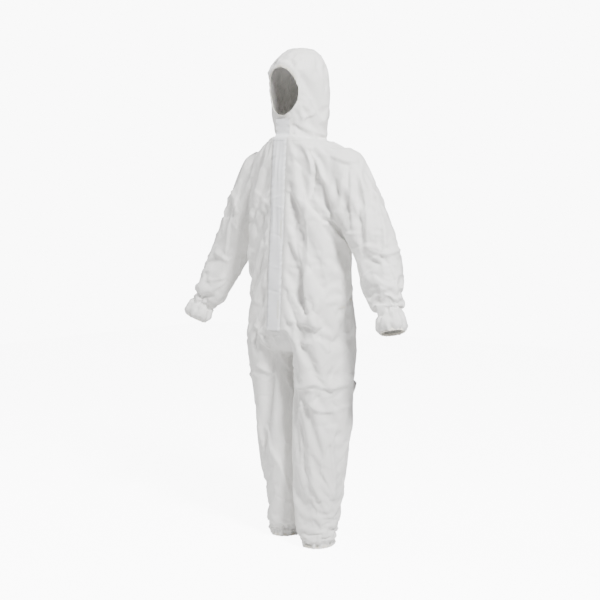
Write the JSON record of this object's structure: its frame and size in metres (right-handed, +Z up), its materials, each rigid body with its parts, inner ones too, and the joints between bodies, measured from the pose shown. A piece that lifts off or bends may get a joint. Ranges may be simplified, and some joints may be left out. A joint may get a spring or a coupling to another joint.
{
  "type": "chemical protective suit",
  "caption": "White disposable hooded coverall with elasticated face, wrists, waist and ankles, and a front zip under a storm flap.",
  "frame": {"origin": "centre of the neck seam, where the suit hangs on its wearer's neck and shoulders", "axes": "+Z up the body, -Y out of the front, +X to the wearer's left"},
  "size_m": [0.9776, 0.3383, 1.798],
  "materials": {
    "suit_cloth": "smooth white microporous nonwoven",
    "flap_cloth": "smooth white microporous nonwoven, slightly cooler",
    "elastic": "covered elastic in cream nonwoven edging",
    "zip_tape": "woven polyester tape",
    "zip_teeth": "nylon coil",
    "slider_metal": "white painted die casting",
    "adhesive": "double-sided adhesive tape",
    "liner_paper": "siliconised release paper",
    "label_tape": "blank woven label"
  },
  "bodies": {
    "body": {"hood_neck": "suit_cloth", "chin_flap": "flap_cloth", "front_panel_left": "suit_cloth", "back_panel_left": "suit_cloth", "front_panel_right": "suit_cloth", "back_panel_right": "suit_cloth", "waist_elastic": "elastic", "seat_left": "suit_cloth", "seat_right": "suit_cloth", "zip_tape_left": "zip_tape", "zip_teeth_left": "zip_teeth", "zip_tape_right": "zip_tape", "zip_teeth_right": "zip_teeth", "zip_top_stops": "zip_teeth", "zip_bottom_stop": "zip_teeth", "neck_label": "label_tape", "shoulder_left": "suit_cloth", "shoulder_right": "suit_cloth"},
    "hood": {"hood_centre": "suit_cloth", "hood_chin": "suit_cloth", "face_elastic": "elastic", "hood_left": "suit_cloth", "hood_right": "suit_cloth"},
    "flap": {"storm_flap": "flap_cloth", "flap_adhesive": "adhesive", "release_liner": "liner_paper"},
    "slider": {"zip_slider": "slider_metal"},
    "puller": {"pull_tab": "slider_metal"},
    "sleeve_left": {"upper_sleeve_left": "suit_cloth", "elbow_left": "suit_cloth"},
    "forearm_left": {"lower_sleeve_left": "suit_cloth", "wrist_elastic_left": "elastic", "sleeve_cuff_left": "suit_cloth"},
    "leg_left": {"thigh_left": "suit_cloth", "knee_left": "suit_cloth"},
    "shin_left": {"shin_left": "suit_cloth", "ankle_elastic_left": "elastic", "ankle_cuff_left": "suit_cloth"},
    "sleeve_right": {"upper_sleeve_right": "suit_cloth", "elbow_right": "suit_cloth"},
    "forearm_right": {"lower_sleeve_right": "suit_cloth", "wrist_elastic_right": "elastic", "sleeve_cuff_right": "suit_cloth"},
    "leg_right": {"thigh_right": "suit_cloth", "knee_right": "suit_cloth"},
    "shin_right": {"shin_right": "suit_cloth", "ankle_elastic_right": "elastic", "ankle_cuff_right": "suit_cloth"}
  },
  "joints": [
    {"name": "hood_tilt", "type": "hinge", "parent": "body", "child": "hood", "pos_m": [0, 0.01, 0.028], "axis": [-1, 0, 0], "range_deg": [-20, 35], "deforming": ["hood_neck", "chin_flap"]},
    {"name": "flap_open", "type": "hinge", "parent": "body", "child": "flap", "pos_m": [-0.03, -0.15613, -0.33364], "axis": [0, -0.0599, -0.9982], "range_deg": [0, 115]},
    {"name": "zip_slide", "type": "slide", "parent": "body", "child": "slider", "axis": [0, -0.0599, -0.9982], "range_m": [0, 0.6291]},
    {"name": "tab_swing", "type": "hinge", "parent": "slider", "child": "puller", "pos_m": [0, -0.1319, -0.02247], "axis": [-1, 0, 0], "range_deg": [0, 8]},
    {"name": "shoulder_raise_left", "type": "hinge", "parent": "body", "child": "sleeve_left", "pos_m": [0.18, -0.003, -0.094], "axis": [0, -1, 0], "range_deg": [0, 60], "deforming": ["shoulder_left"]},
    {"name": "elbow_bend_left", "type": "hinge", "parent": "sleeve_left", "child": "forearm_left", "pos_m": [0.338, -0.003, -0.368], "axis": [-1, 0, 0], "range_deg": [0, 70], "deforming": ["elbow_left"]},
    {"name": "hip_swing_left", "type": "hinge", "parent": "body", "child": "leg_left", "pos_m": [0.103, 0, -0.66], "axis": [-1, 0, 0], "range_deg": [-12, 40], "deforming": ["seat_left"]},
    {"name": "knee_bend_left", "type": "hinge", "parent": "leg_left", "child": "shin_left", "pos_m": [0.103, 0, -0.98], "axis": [1, 0, 0], "range_deg": [0, 70], "deforming": ["knee_left"]},
    {"name": "shoulder_raise_right", "type": "hinge", "parent": "body", "child": "sleeve_right", "pos_m": [-0.18, -0.003, -0.094], "axis": [0, 1, 0], "range_deg": [0, 60], "deforming": ["shoulder_right"]},
    {"name": "elbow_bend_right", "type": "hinge", "parent": "sleeve_right", "child": "forearm_right", "pos_m": [-0.338, -0.003, -0.368], "axis": [-1, 0, 0], "range_deg": [0, 70], "deforming": ["elbow_right"]},
    {"name": "hip_swing_right", "type": "hinge", "parent": "body", "child": "leg_right", "pos_m": [-0.103, 0, -0.66], "axis": [-1, 0, 0], "range_deg": [-12, 40], "deforming": ["seat_right"]},
    {"name": "knee_bend_right", "type": "hinge", "parent": "leg_right", "child": "shin_right", "pos_m": [-0.103, 0, -0.98], "axis": [1, 0, 0], "range_deg": [0, 70], "deforming": ["knee_right"]}
  ]
}
